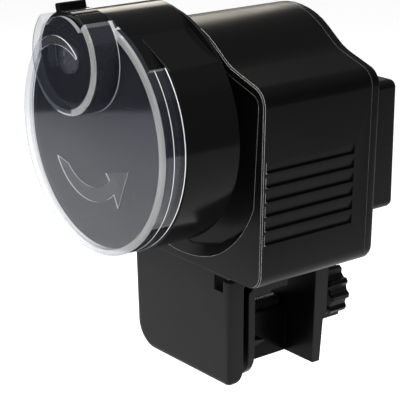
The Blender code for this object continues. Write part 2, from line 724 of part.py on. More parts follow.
def flange_outline():
    """Full circle with the dome standing slightly above it."""
    points = []
    for i in range(72):
        a = 2.0 * math.pi * i / 72.0
        reach = DRUM_R
        s, c = math.sin(a), math.cos(a)
        if c > 0.0:
            b = DOME_Z * c
            dome = b + math.sqrt(max(0.0, b * b - DOME_Z ** 2 + DOME_R ** 2))
            reach = max(reach, dome)
        points.append((reach * s, reach * c))
    return points


def make_drum():
    """Food drum, open at the front, with a hub that slips on the shaft."""
    neck = along_y(drum_outline(DRUM_NECK_R), DRUM_FRONT, DRUM_NECK_END + 0.2 * MM)
    drum = finish("drum", neck, surface("drum", BLACK, 0.12))
    fuse(drum, along_y(drum_outline(DRUM_R), DRUM_NECK_END, 25.5 * MM), "drum_body")
    fuse(drum, along_y(flange_outline(), 25.2 * MM, DRUM_REAR), "drum_flange")
    fuse(drum, rod(HUB_R, DRUM_REAR - 0.5 * MM, 34.6 * MM, 0.0, 0.0, 32), "drum_hub")
    inner = inset(drum_outline(DRUM_NECK_R), DRUM_WALL)
    cut(drum, along_y(inner, 0.0, 24.2 * MM), "drum_inside")
    cut(drum, rod(SHAFT_R + 0.25 * MM, 27.2 * MM, 40.0 * MM), "hub_bore")
    return drum


def cut_sector():
    """Part of the cup's wall that is left open for the gate."""
    points = arc(0.0, CUP_Z, CUT_R, CUT_LEFT, CUT_RIGHT, 12)
    points += arc(0.0, CUP_Z, 19.0 * MM, CUT_RIGHT, CUT_LEFT, 12)
    return points


def arrow_outline():
    """Curved arrow that shows which way the drum turns."""
    outer = arc(0.0, -1.0 * MM, 18.0 * MM, math.radians(243), math.radians(138), 14)
    head = [(13.9 * MM, -18.1 * MM), (19.0 * MM, -6.2 * MM), (8.3 * MM, -8.9 * MM),
            (10.1 * MM, -10.9 * MM)]
    inner = arc(0.0, -0.2 * MM, 14.6 * MM, math.radians(141), math.radians(226), 12)
    return outer + head + inner


def wedge_outline():
    """Tapered arc beside the outlet that shows how far the gate is open."""
    outer = arc(-2.5 * MM, 16.7 * MM, 12.7 * MM, math.radians(-38), math.radians(50), 12)
    inner = arc(-1.5 * MM, 12.1 * MM, 14.9 * MM, math.radians(35), math.radians(-36), 12)
    return outer + inner


def make_cap():
    """Clear cap with its skirt and the eccentric outlet cup, all one moulding."""
    disc = turned([(CAP_FACE_R, 0.0), (CAP_R, 0.7 * MM), (CAP_R, SKIRT_REAR)], 0.0, 0.0, 72)
    cap = finish("cap", disc, clear_plastic("cap"))
    inside = bmesh.new()
    rod(SKIRT_INNER_R, CAP_THICK, 12.0 * MM, 0.0, 0.0, 72, inside)
    cut(cap, inside, "skirt_inside")
    wedge = [(0.0, 0.0)] + arc(0.0, 0.0, 60.0 * MM, -SKIRT_START, SKIRT_START, 8)
    cut(cap, along_y(wedge, 2.3 * MM, 12.0 * MM), "skirt_gap")
    cup = turned([(CUP_R - 0.6 * MM, CUP_FACE_Y), (CUP_R, CUP_FACE_Y + 0.6 * MM),
                  (CUP_R, CUP_REAR_Y)], 0.0, CUP_Z, 48)
    fuse(cap, cup, "cup_outside")
    cut(cap, rod(CUP_BORE, CUP_FACE_Y + 1.2 * MM, 6.0 * MM, 0.0, CUP_Z, 48), "cup_bore")
    cut(cap, along_y(cut_sector(), -12.0 * MM, 6.0 * MM), "outlet_sector")
    fuse(cap, rod(3.9 * MM, -7.3 * MM, -5.4 * MM, 0.5 * MM, CUP_Z, 20), "cup_boss")
    marks = along_y(arrow_outline(), -0.3 * MM, 0.3 * MM)
    fuse(cap, marks, "turn_arrow")
    fuse(cap, along_y(wedge_outline(), CUP_FACE_Y - 0.3 * MM, CUP_FACE_Y + 0.3 * MM),
         "gate_wedge")
    return cap


def make_gate():
    """Ring that turns in the cup, with a window in its side and a thumb tab."""
    ring = turned([(GATE_BORE, GATE_FRONT), (GATE_R, GATE_FRONT), (GATE_R, GATE_REAR),
                   (GATE_BORE, GATE_REAR)], 0.0, CUP_Z, 48, True)
    gate = finish("gate", ring, surface("gate", BLACK, 0.3))
    low, high = math.radians(-112), math.radians(-80)
    window = arc(0.0, CUP_Z, 10.0 * MM, low, high, 10)
    window += arc(0.0, CUP_Z, 20.0 * MM, high, low, 10)
    cut(gate, along_y(window, -5.0 * MM, 0.6 * MM), "gate_window")
    grooves = bmesh.new()
    for degrees in (-4.0, 6.0, 16.0):
        a = math.radians(degrees)
        groove = arc(0.0, CUP_Z, GATE_R - 0.4 * MM, a - 0.03, a + 0.03, 1)
        groove += arc(0.0, CUP_Z, 16.0 * MM, a + 0.03, a - 0.03, 1)
        along_y(groove, GATE_FRONT - 1.0 * MM, GATE_REAR + 1.0 * MM, grooves)
    cut(gate, grooves, "gate_grooves")
    s, c = math.sin(TAB_ANGLE), math.cos(TAB_ANGLE)
    tab = []
    for across, reach in ((-1.2, 12.9), (1.2, 12.9), (1.2, 15.3), (0.9, 15.6), (-0.9, 15.6),
                          (-1.2, 15.3)):
        tab.append((across * MM * c + reach * MM * s, CUP_Z - across * MM * s + reach * MM * c))
    fuse(gate, along_y(tab, GATE_FRONT, GATE_REAR), "thumb_tab")
    move_origin(gate, (0.0, 0.0, CUP_Z))
    return gate


# ---------------------------------------------------------------- clamp

def make_bracket():
    """Fixed lug behind the glass with the trough that guides the screw."""
    lug = [(70.8 * MM, -44.8 * MM), (70.0 * MM, LUG_BOTTOM), (72.9 * MM, LUG_BOTTOM),
           (74.1 * MM, -67.8 * MM), (75.2 * MM, -67.4 * MM), (76.3 * MM, -44.8 * MM)]
    bracket = finish("clamp_bracket", along_x(lug, -LUG_HALF, LUG_HALF),
                     satin_black("clamp_bracket"))
    fuse(bracket, block(-LUG_HALF, LUG_HALF, 59.0 * MM, 71.5 * MM, -47.0 * MM, -44.8 * MM),
         "bracket_flange")
    fuse(bracket, block(-TROUGH_HALF, TROUGH_HALF, 56.0 * MM, 71.0 * MM, LUG_BOTTOM,
                        TROUGH_TOP), "trough")
    fuse(bracket, rod(6.5 * MM, 73.5 * MM, 80.0 * MM, 0.0, SCREW_Z, 32), "nut_boss")
    cuts = bmesh.new()
    block(-4.2 * MM, 4.2 * MM, 54.0 * MM, 69.4 * MM, -80.2 * MM, -60.0 * MM, cuts)
    cut(bracket, cuts, "trough_channel")
    bores = bmesh.new()
    rod(3.4 * MM, 68.0 * MM, 84.0 * MM, 0.0, SCREW_Z, 24, bores)
    cut(bracket, bores, "screw_bore")
    cut(bracket, rod(5.6 * MM, 76.4 * MM, 84.0 * MM, 0.0, SCREW_Z, 6), "nut_pocket")
    holes = bmesh.new()
    for x in BRACKET_X:
        along_z(circle(1.7 * MM, 12, x, 64.0 * MM), -50.0 * MM, -42.0 * MM, holes)
    cut(bracket, holes, "flange_holes")
    return bracket


def make_bracket_screws():
    for number, x in enumerate(BRACKET_X, 1):
        rings = [(1.9 * MM, -49.2 * MM), (2.6 * MM, -48.6 * MM), (2.6 * MM, -47.3 * MM),
                 (1.3 * MM, -47.3 * MM), (1.3 * MM, -38.2 * MM)]
        sections = [[(px, py, z) for px, py in circle(r, 12, x, 64.0 * MM)] for r, z in rings]
        finish("bracket_screw_%d" % number, loft(sections), steel("bracket_screw_%d" % number))


def make_nut():
    nut = finish("clamp_nut", rod(5.2 * MM, 76.8 * MM, 79.8 * MM, 0.0, SCREW_Z, 6),
                 steel("clamp_nut"))
    cut(nut, rod(3.3 * MM, 75.0 * MM, 82.0 * MM, 0.0, SCREW_Z, 24), "nut_thread")
    return nut


def make_screw():
    """Threaded rod, its crests one pitch apart over the length that can be seen."""
    profile = [(2.2 * MM, 44.3 * MM), (2.2 * MM, 46.4 * MM)]
    crests = 23
    for i in range(crests):
        y = 46.9 * MM + i * SCREW_PITCH
        profile.append((2.45 * MM, y))
        profile.append((SCREW_R, y + 0.5 * SCREW_PITCH))
    profile += [(2.5 * MM, 70.1 * MM), (SCREW_R, 70.4 * MM), (SCREW_R, 88.0 * MM),
                (2.4 * MM, 88.0 * MM), (2.4 * MM, 92.0 * MM)]
    return finish("clamp_screw", turned(profile, 0.0, SCREW_Z, 12), steel("clamp_screw"),
                  (0.0, 60.0 * MM, SCREW_Z))


def knob_outline(grow=0.0):
    points = []
    for i in range(KNOB_LOBES):
        base = math.radians(-3.5) + 2.0 * math.pi * i / KNOB_LOBES
        for share, radius in ((-0.12, KNOB_R), (0.12, KNOB_R), (0.32, KNOB_VALLEY_R),
                              (0.68, KNOB_VALLEY_R)):
            a = base + share * 2.0 * math.pi / KNOB_LOBES
            points.append(((radius - grow) * math.cos(a), SCREW_Z + (radius - grow) * math.sin(a)))
    return points


def make_knob():
    bm = loft([[(x, KNOB_FRONT + 0.6 * MM, z) for x, z in knob_outline(0.9 * MM)],
               [(x, KNOB_FRONT + 1.4 * MM, z) for x, z in knob_outline()],
               [(x, KNOB_REAR - 0.5 * MM, z) for x, z in knob_outline()],
               [(x, KNOB_REAR, z) for x, z in knob_outline(0.5 * MM)]])
    knob = finish("clamp_knob", bm, satin_black("clamp_knob"), (0.0, 88.0 * MM, SCREW_Z))
    bore = turned([(3.3 * MM, 84.0 * MM), (3.3 * MM, 88.3 * MM), (2.7 * MM, 88.3 * MM),
                   (2.7 * MM, 92.3 * MM)], 0.0, SCREW_Z, 16)
    cut(knob, bore, "knob_bore")
    return knob


def make_pressure_plate():
    """Sliding jaw with its stiffening ledge, screw socket and two side rails."""
    outline = rounded(-PLATE_HALF, PLATE_HALF, -79.6 * MM, -52.2 * MM, 8.0 * MM, 0.6 * MM)
    plate = finish("pressure_plate", along_y(outline, PLATE_FRONT, PLATE_REAR),
                   satin_black("pressure_plate"))
    parts = bmesh.new()
    for side in (-1.0, 1.0):
        ledge = [(43.2 * MM, -66.6 * MM), (47.5 * MM, -67.3 * MM), (47.5 * MM, -67.7 * MM),
                 (43.2 * MM, -68.5 * MM)]
        along_x(ledge, side * 7.0 * MM, side * PLATE_HALF, parts)
    fuse(plate, parts, "plate_ledges")
    rails = bmesh.new()
    for side in (-1.0, 1.0):
        rail = [(41.3 * MM, -54.0 * MM), (41.3 * MM, -51.2 * MM), (44.0 * MM, -49.0 * MM),
                (56.5 * MM, -49.0 * MM), (56.5 * MM, -51.5 * MM)]
        for i in range(4):
            y = (55.6 - 1.5 * i) * MM
            rail.append((y, -51.9 * MM))
            rail.append((y - 0.45 * MM, -51.3 * MM))
        rail += [(49.9 * MM, -51.9 * MM), (49.9 * MM, -53.0 * MM), (48.7 * MM, -53.0 * MM),
                 (48.5 * MM, -52.6 * MM), (43.6 * MM, -52.6 * MM), (43.6 * MM, -54.0 * MM)]
        along_x(rail, side * 18.6 * MM, side * PLATE_HALF, rails)
    fuse(plate, rails, "side_rails")
    fuse(plate, rod(3.85 * MM, 43.2 * MM, 46.2 * MM, 0.0, SCREW_Z, 24), "screw_socket")
    cut(plate, rod(2.6 * MM, 43.9 * MM, 50.0 * MM, 0.0, SCREW_Z, 16), "socket_bore")
    move_origin(plate, (0.0, PLATE_FRONT, SCREW_Z))
    return plate


# ---------------------------------------------------------------- build

def build():
    make_housing()
    make_jaw_pad()
    make_rear_cover()
    make_cover_screws()
    make_control_box()
    make_control_panel()
    make_display()
    make_buttons()
    make_battery_door()
    make_cells()
    make_battery_tray()
    make_leads()
    make_drive()
    make_drum()
    make_cap()
    make_gate()
    make_bracket()
    make_bracket_screws()
    make_nut()
    make_screw()
    make_knob()
    make_pressure_plate()
    for collection in (PARTS, CUTTERS):
        for item in collection.objects:
            item.location = item.location - CONTACT


build()
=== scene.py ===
"""Looks of the clamp-on aquarium feeder: fine shapes, plastics, lights and camera.

Shapes are built with the drum axis at X = 0, Z = 0 and the cap's face at Y = 0, then
moved so the clamp's contact face is at the origin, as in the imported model.
"""
import math

import bmesh
import bpy
from mathutils import Matrix, Vector


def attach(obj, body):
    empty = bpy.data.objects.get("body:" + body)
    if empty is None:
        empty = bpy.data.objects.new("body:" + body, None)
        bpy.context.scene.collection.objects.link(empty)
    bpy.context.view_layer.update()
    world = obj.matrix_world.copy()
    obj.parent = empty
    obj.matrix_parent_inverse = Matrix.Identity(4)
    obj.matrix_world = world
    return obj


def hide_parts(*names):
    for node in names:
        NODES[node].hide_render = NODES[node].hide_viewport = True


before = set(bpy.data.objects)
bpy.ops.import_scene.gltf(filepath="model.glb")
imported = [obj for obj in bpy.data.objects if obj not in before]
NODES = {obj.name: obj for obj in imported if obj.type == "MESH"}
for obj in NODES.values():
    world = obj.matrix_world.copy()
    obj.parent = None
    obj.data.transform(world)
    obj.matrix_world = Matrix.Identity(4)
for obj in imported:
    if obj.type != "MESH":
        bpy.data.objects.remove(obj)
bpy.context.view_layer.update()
MM = 0.001
CONTACT = Vector((0.0, 38.4, -63.6)) * MM

DRUM_R = 35.2 * MM
DRUM_NECK_R = 33.1 * MM
FLAT_TOP = (14.3 * MM, 29.7 * MM)
FLAT_END = (26.9 * MM, 22.7 * MM)
DOME_R = 20.1 * MM
DOME_Z = 15.6 * MM
CAP_R = 34.9 * MM
CUP_Z = 23.0 * MM
CUP_R = 15.7 * MM
CUP_FACE = -8.25 * MM
CUT_LEFT = math.radians(-45.0)
CUT_RIGHT = math.radians(43.0)
CUT_R = 12.0 * MM
SKIRT_START = math.radians(48.3)
SCREW_Z = -67.4 * MM
CUP_WALL_R = 13.75 * MM
BOSS_X = 0.5 * MM
GATE_FRONT = -6.6 * MM
GATE_REAR = 2.0 * MM
THREAD_PITCH = 1.0 * MM
SMOOTH_ANGLE = math.radians(32.0)
WELD = 1e-6
FLOOR_Z = -0.16
CURTAIN_R = 0.92
CURTAIN_HEIGHT = 0.75

# ---------------------------------------------------------------- shapes

def raw(bm):
    """A plain object from a bmesh, in the drum's coordinates."""
    bmesh.ops.remove_doubles(bm, verts=bm.verts, dist=WELD)
    bmesh.ops.recalc_face_normals(bm, faces=bm.faces)
    mesh = bpy.data.meshes.new("raw")
    bm.to_mesh(mesh)
    bm.free()
    item = bpy.data.objects.new("raw", mesh)
    bpy.context.scene.collection.objects.link(item)
    return item


def loft(sections, ring=False):
    """Skin through equal sections, capped at both ends or closed into a ring."""
    bm = bmesh.new()
    loops = [[bm.verts.new(point) for point in section] for section in sections]
    count = len(loops[0])
    pairs = list(zip(loops[:-1], loops[1:]))
    if ring:
        pairs.append((loops[-1], loops[0]))
    for first, second in pairs:
        for i in range(count):
            j = (i + 1) % count
            bm.faces.new((first[i], first[j], second[j], second[i]))
    if not ring:
        bm.faces.new(loops[0])
        bm.faces.new(list(reversed(loops[-1])))
    return bm


def along_y(outline, low, high):
    return loft([[(x, y, z) for x, z in outline] for y in (low, high)])


def circle(radius, steps, cx=0.0, cz=0.0):
    angles = [2.0 * math.pi * i / steps for i in range(steps)]
    return [(cx + radius * math.cos(a), cz + radius * math.sin(a)) for a in angles]


def rod(radius, y0, y1, cx=0.0, cz=0.0, steps=48):
    return along_y(circle(radius, steps, cx, cz), y0, y1)


def turned(profile, cx=0.0, cz=0.0, steps=96, ring=False):
    """Solid of revolution about Y through a profile of (radius, y)."""
    sections = [[(x, y, z) for x, z in circle(radius, steps, cx, cz)] for radius, y in profile]
    return loft(sections, ring)


def arc(cx, cz, radius, start, end, steps):
    """Points on an arc, angles measured from +Z towards +X."""
    points = []
    for i in range(steps + 1):
        a = start + (end - start) * i / steps
        points.append((cx + radius * math.sin(a), cz + radius * math.cos(a)))
    return points


def inset(outline, distance):
    """Move a closed outline inwards by a distance."""
    area = sum(a[0] * b[1] - b[0] * a[1] for a, b in zip(outline, outline[1:] + outline[:1]))
    turn = 1.0 if area > 0 else -1.0
    moved = []
    count = len(outline)
    for i in range(count):
        here = Vector(outline[i])
        first = (here - Vector(outline[i - 1])).normalized()
        second = (Vector(outline[(i + 1) % count]) - here).normalized()
        n1 = Vector((-first.y, first.x)) * turn
        n2 = Vector((-second.y, second.x)) * turn
        mid = (n1 + n2).normalized()
        moved.append(tuple(here + mid * (distance / max(0.3, mid.dot(n1)))))
    return moved


def edge_rings(outline, radius, y_edge, y_side, steps=5):
    """Rings of a rounded edge, from the end face at y_edge to the side."""
    way = 1.0 if y_side > y_edge else -1.0
    rings = []
    for i in range(steps + 1):
        a = 0.5 * math.pi * i / steps
        pull = radius * (1.0 - math.sin(a))
        y = y_edge + way * radius * (1.0 - math.cos(a))
        rings.append([(x, y, z) for x, z in inset(outline, pull)] if pull > 1e-9
                     else [(x, y, z) for x, z in outline])
    return rings


def slab(outline, low, high, front=0.3 * MM, rear=0.3 * MM):
    """Prism along Y with rounded front and rear edges."""
    rings = edge_rings(outline, front, low, high)
    rings += list(reversed(edge_rings(outline, rear, high, low)))
    return loft(rings)


def combine(target, bm, operation):
    """Boolean a new shape into an object, leaving the result as its mesh."""
    tool = raw(bm)
    modifier = target.modifiers.new("b", 'BOOLEAN')
    modifier.operation = operation
    modifier.solver = 'EXACT'
    modifier.object = tool
    bpy.context.view_layer.update()
    depsgraph = bpy.context.evaluated_depsgraph_get()
    mesh = bpy.data.meshes.new_from_object(target.evaluated_get(depsgraph))
    target.modifiers.clear()
    target.data = mesh
    bpy.data.objects.remove(tool, do_unlink=True)


def cut(target, bm):
    combine(target, bm, 'DIFFERENCE')


def fuse(target, bm):
    combine(target, bm, 'UNION')


def weigh_normals(item):
    """Weight the normals by face area, so flat faces stay flat beside curved ones."""
    weighted = item.modifiers.new("weighted", 'WEIGHTED_NORMAL')
    weighted.mode = 'FACE_AREA'
    weighted.keep_sharp = True


def place(item, name, body, materials, node):
    """Name a finished shape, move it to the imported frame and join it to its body."""
    item.name = name
    mesh = item.data
    mesh.name = name
    mesh.transform(Matrix.Translation(-CONTACT))
    mesh.materials.clear()
    for entry in materials:
        mesh.materials.append(entry)
    mesh.polygons.foreach_set("use_smooth", [True] * len(mesh.polygons))
    mesh.set_sharp_from_angle(angle=SMOOTH_ANGLE)
    weigh_normals(item)
    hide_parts(node)
    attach(item, body)


# ---------------------------------------------------------------- materials

GRAIN_SCALE = 2500.0
GRAIN_DEPTH = 0.00004
CLOUD_LOW = 0.3
CLOUD_HIGH = 0.7


def shader(name):
    material = bpy.data.materials.new(name)
    material.use_nodes = True
    return material, material.node_tree.nodes, material.node_tree.links


def axis(nodes, links, where, letter):
    """One coordinate of the object's own space."""
    split = nodes.new("ShaderNodeSeparateXYZ")
    links.new(where.outputs["Object"], split.inputs[0])
    return split.outputs[letter]


def clouds(nodes, links, where, scale, detail=2.0):
    """Soft noise over the object."""
    noise = nodes.new("ShaderNodeTexNoise")
    noise.inputs["Scale"].default_value = scale
    noise.inputs["Detail"].default_value = detail
    links.new(where.outputs["Object"], noise.inputs["Vector"])
    return noise.outputs["Fac"]


def ranged(nodes, links, value, source, result=(0.0, 1.0), eased=False):
    """Map a value from the source range to the result range, held at both ends."""
    spread = nodes.new("ShaderNodeMapRange")
    if eased:
        spread.interpolation_type = 'SMOOTHSTEP'
    spread.inputs["From Min"].default_value = source[0]
    spread.inputs["From Max"].default_value = source[1]
    spread.inputs["To Min"].default_value = result[0]
    spread.inputs["To Max"].default_value = result[1]
    links.new(value, spread.inputs["Value"])
    return spread.outputs["Result"]


def blended(nodes, links, share, first, second):
    """Mix node going from the first colour to the second as share goes from 0 to 1."""
    blend = nodes.new("ShaderNodeMix")
    blend.data_type = 'RGBA'
    blend.inputs[6].default_value = (*first, 1.0)
    blend.inputs[7].default_value = (*second, 1.0)
    links.new(share, blend.inputs[0])
    return blend


def product(nodes, links, first, second):
    times = nodes.new("ShaderNodeMath")
    times.operation = 'MULTIPLY'
    links.new(first, times.inputs[0])
    links.new(second, times.inputs[1])
    return times.outputs[0]


def power(nodes, links, value, exponent):
    raised = nodes.new("ShaderNodeMath")
    raised.operation = 'POWER'
    raised.inputs[1].default_value = exponent
    links.new(value, raised.inputs[0])
    return raised.outputs[0]


def plastic(name, color, roughness, grain=0.0, edge=0.15 * MM, mottle=0.04, level=0.5,
            floor_lit_color=None, floor_lit_heights=(0.0, 1.0), edge_highlight=None, highlight_front_y=1.0, highlight_above_z=-1.0, lit_flank=None):
    """Moulded plastic: slightly uneven gloss, fine grain and softened edges.

    With the floor-lit colour, the colour fades to it from the upper to the lower of the
    floor-lit heights: painted light, the lower part lighter as if lit by the bright floor
    below.
    With an edge highlight colour, sharp edges in front of the given Y and above the given Z are
    lighter: painted highlights.
    The flank is a half width and the colour of whatever lies further out than it in X: painted
    light on the outer side faces, while the darker base inside is painted shade.
    """
    material, nodes, links = shader(name)
    main = nodes["Principled BSDF"]
    main.inputs["Base Color"].default_value = (*color, 1.0)
    main.inputs["Specular IOR Level"].default_value = level
    where = nodes.new("ShaderNodeTexCoord")
    # Painted light: the colour lightens from the upper to the lower height, standing in for
    # light from the floor.
    if floor_lit_color:
        height = ranged(nodes, links, axis(nodes, links, where, "Z"), floor_lit_heights, eased=True)
        blend = blended(nodes, links, height, floor_lit_color, color)
        links.new(blend.outputs[2], main.inputs["Base Color"])
    # Painted light on the outer side faces.
    if lit_flank:
        paint_lit_flanks(nodes, links, main, where, *lit_flank)
    cloud = clouds(nodes, links, where, 60.0, 3.0)
    gloss = ranged(nodes, links, cloud, (CLOUD_LOW, CLOUD_HIGH),
                   (max(0.02, roughness - mottle), roughness + mottle))
    links.new(gloss, main.inputs["Roughness"])
    if edge <= 0.0 and grain <= 0.0:
        return material
    soft = None
    if edge > 0.0:
        soft = nodes.new("ShaderNodeBevel")
        soft.samples = 6
        soft.inputs["Radius"].default_value = edge
    # Painted highlights on sharp edges.
    if edge_highlight:
        paint_edge_highlights(nodes, links, soft, main, where, edge_highlight, highlight_front_y, highlight_above_z)
    normal = soft.outputs["Normal"] if soft else None
    if grain > 0.0:
        bump = nodes.new("ShaderNodeBump")
        bump.inputs["Strength"].default_value = grain
        bump.inputs["Distance"].default_value = GRAIN_DEPTH
        links.new(clouds(nodes, links, where, GRAIN_SCALE), bump.inputs["Height"])
        if normal:
            links.new(normal, bump.inputs["Normal"])
        normal = bump.outputs["Normal"]
    links.new(normal, main.inputs["Normal"])
    return material


def paint_lit_flanks(nodes, links, main, where, half_width, color):
    """Paint light on the outer side faces: a lighter colour by distance from the middle plane,
    beside the darker, painted shade inside.
    """
    away = nodes.new("ShaderNodeMath")
    away.operation = 'ABSOLUTE'
    links.new(axis(nodes, links, where, "X"), away.inputs[0])
    outer = ranged(nodes, links, away.outputs[0], (half_width - 0.4 * MM, half_width))
    base = main.inputs["Base Color"]
    blend = blended(nodes, links, outer, base.default_value[:3], color)
    links.new(blend.outputs[2], base)


def paint_edge_highlights(nodes, links, soft, main, where, edge_highlight, highlight_front_y, highlight_above_z):
    """Paint highlights: lighten the base colour where the softened normal leaves the true one,
    so sharp edges look lit.
    """
    plain = nodes.new("ShaderNodeNewGeometry")
    match = nodes.new("ShaderNodeVectorMath")
    match.operation = 'DOT_PRODUCT'
    links.new(soft.outputs["Normal"], match.inputs[0])
    links.new(plain.outputs["Normal"], match.inputs[1])
    sharp = ranged(nodes, links, match.outputs["Value"], (0.99, 0.88))
    front = ranged(nodes, links, axis(nodes, links, where, "Y"), (highlight_front_y + 1.0 * MM, highlight_front_y))
    above = ranged(nodes, links, axis(nodes, links, where, "Z"), (highlight_above_z, highlight_above_z + 1.0 * MM))
    share = product(nodes, links, sharp, product(nodes, links, front, above))
    base = main.inputs["Base Color"]
    blend = blended(nodes, links, share, base.default_value[:3], edge_highlight)
    if base.is_linked:
        links.new(base.links[0].from_socket, blend.inputs[6])
    links.new(blend.outputs[2], base)


def metal(name, color, roughness):
    material, nodes, links = shader(name)
    main = nodes["Principled BSDF"]
    main.inputs["Base Color"].default_value = (*color, 1.0)
    main.inputs["Metallic"].default_value = 1.0
    where = nodes.new("ShaderNodeTexCoord")
    gloss = ranged(nodes, links, clouds(nodes, links, where, 900.0), (0.0, 1.0),
                   (roughness - 0.06, roughness + 0.08))
    links.new(gloss, main.inputs["Roughness"])
    return material


# Heights over which the clear cap's reflections darken towards the top, painted shade.
SHINE_HEIGHTS = (0.036, 0.092)
SHINE = (0.95, 0.97, 1.0)
LOW_SHINE = (0.95, 0.96, 0.98)
GRAZING_TINT = (0.12, 0.13, 0.15)


def clear(name, tint, haze, haze_color, gloss=0.06, edge_gain=1.0, painted_top_shine=None):
    """Clear moulding: see-through, with reflections at an angle and a light haze.

    With a top shine colour, the reflections take that colour near the top of the cap: painted
    shade that darkens the reflections there.
    """
    material, nodes, links = shader(name)
    nodes.remove(nodes["Principled BSDF"])
    through = nodes.new("ShaderNodeBsdfTransparent")
    through.inputs["Color"].default_value = (*tint, 1.0)
    shine = nodes.new("ShaderNodeBsdfGlossy")
    shine.inputs["Roughness"].default_value = gloss
    shine.inputs["Color"].default_value = (*SHINE, 1.0)
    milk = nodes.new("ShaderNodeBsdfDiffuse")
    milk.inputs["Color"].default_value = (*haze_color, 1.0)
    where = nodes.new("ShaderNodeTexCoord")
    # Painted shade in the reflections: they darken towards the top of the cap.
    if painted_top_shine:
        height = ranged(nodes, links, axis(nodes, links, where, "Z"), SHINE_HEIGHTS, eased=True)
        blend = blended(nodes, links, height, LOW_SHINE, painted_top_shine)
        links.new(blend.outputs[2], shine.inputs["Color"])
    milky = ranged(nodes, links, clouds(nodes, links, where, 35.0), (CLOUD_LOW, CLOUD_HIGH),
                   (haze * 0.8, haze * 1.2))
    facing = nodes.new("ShaderNodeLayerWeight").outputs["Facing"]
    darken = blended(nodes, links, power(nodes, links, facing, 2.5), tint, GRAZING_TINT)
    links.new(darken.outputs[2], through.inputs["Color"])
    body = nodes.new("ShaderNodeMixShader")
    links.new(milky, body.inputs[0])
    links.new(through.outputs[0], body.inputs[1])
    links.new(milk.outputs[0], body.inputs[2])
    gain = nodes.new("ShaderNodeMath")
    gain.operation = 'MULTIPLY_ADD'
    gain.inputs[1].default_value = 0.96 * edge_gain
    gain.inputs[2].default_value = 0.04 * edge_gain
    gain.use_clamp = True
    links.new(power(nodes, links, facing, 5.0), gain.inputs[0])
    top = nodes.new("ShaderNodeMixShader")
    links.new(gain.outputs[0], top.inputs[0])
    links.new(body.outputs[0], top.inputs[1])
    links.new(shine.outputs[0], top.inputs[2])
    links.new(top.outputs[0], nodes["Material Output"].inputs["Surface"])
    return material


# Light grey of the painted highlights on the housing's front lip edges; the rear cover, control
# box and knob carry fainter painted edge highlights.
LIP_HIGHLIGHT_GREY = (0.85, 0.85, 0.82)
DRUM_BLACK = plastic("drum_black", (0.0045, 0.0045, 0.0047), 0.16, edge=0.2 * MM, level=0.06)
# Housing shell: lighter towards the bottom, painted light standing in for the bright floor
# below.
SHELL_BLACK = plastic("shell_black", (0.0026, 0.0026, 0.0027), 0.33, grain=0.08,
                      edge=0.25 * MM, level=0.065, floor_lit_color=(0.0130, 0.0130, 0.0131),
                      floor_lit_heights=(0.008, 0.040), edge_highlight=LIP_HIGHLIGHT_GREY, highlight_front_y=-4.3 * MM,
                      highlight_above_z=19.5 * MM)
# Rear cover: lighter towards the bottom, the same painted floor light.
COVER_BLACK = plastic("cover_black", (0.0026, 0.0026, 0.0027), 0.33, grain=0.08,
                      edge=0.25 * MM, level=0.065, floor_lit_color=(0.0115, 0.0115, 0.0116),
                      floor_lit_heights=(0.008, 0.040), edge_highlight=(0.13, 0.13, 0.125))
BOX_BLACK = plastic("box_black", (0.003, 0.003, 0.0031), 0.38, grain=0.25, edge=0.2 * MM,
                    level=0.10, edge_highlight=(0.05, 0.05, 0.05))
SATIN_BLACK = plastic("satin_black", (0.006, 0.006, 0.0062), 0.42, grain=0.25, edge=0.2 * MM,
                      level=0.15)
# Clamp bracket and pressure plate: the very dark base colour is painted shade for the enclosed
# inside, and the lighter flank colour is painted light on the outer side faces.
CLAMP_BLACK = plastic("clamp_black", (0.0010, 0.0010, 0.0011), 0.30, edge=0.2 * MM, level=0.06,
                      lit_flank=(19.3 * MM, (0.016, 0.016, 0.016)))
PLATE_BLACK = plastic("plate_black", (0.0012, 0.0012, 0.0012), 0.30, edge=0.2 * MM, level=0.06,
                      lit_flank=(21.9 * MM, (0.014, 0.014, 0.014)))
THREAD_BLACK = plastic("thread_black", (0.02, 0.02, 0.02), 0.26, edge=0.0, level=0.5)
KNOB_BLACK = plastic("knob_black", (0.003, 0.003, 0.0031), 0.38, grain=0.2, edge=0.2 * MM,
                     level=0.12, edge_highlight=(0.06, 0.06, 0.06))
GATE_BLACK = plastic("gate_black", (0.002, 0.002, 0.0021), 0.2, edge=0.15 * MM, level=0.2)
RUBBER = plastic("rubber", (0.014, 0.014, 0.014), 0.75, grain=0.4, edge=0.0)
BUTTON_GREY = plastic("button_grey", (0.16, 0.165, 0.17), 0.55, grain=0.3, edge=0.1 * MM)
LCD = plastic("lcd", (0.30, 0.34, 0.26), 0.2, edge=0.0)
BOARD = plastic("board", (0.01, 0.11, 0.045), 0.4, edge=0.0)
ACETAL = plastic("acetal", (0.72, 0.71, 0.66), 0.4, edge=0.0)
LEAD_RED = plastic("lead_red", (0.45, 0.015, 0.012), 0.4, edge=0.0)
STEEL = metal("steel", (0.55, 0.55, 0.56), 0.3)
BLACK_STEEL = metal("black_steel", (0.12, 0.12, 0.125), 0.35)
BRASS = metal("brass", (0.72, 0.55, 0.28), 0.3)
CELL = metal("cell_sleeve", (0.50, 0.33, 0.10), 0.28)
CLEAR = clear("clear", (0.97, 0.975, 0.985), 0.010, (0.70, 0.76, 0.95), 0.05, 0.80,
              painted_top_shine=(0.42, 0.44, 0.54))
FROST = clear("frost", (0.80, 0.82, 0.85), 0.26, (0.84, 0.84, 0.83), 0.2, 1.0)
MARK = clear("mark", (0.90, 0.91, 0.93), 0.03, (0.80, 0.82, 0.88), 0.12, 0.8)
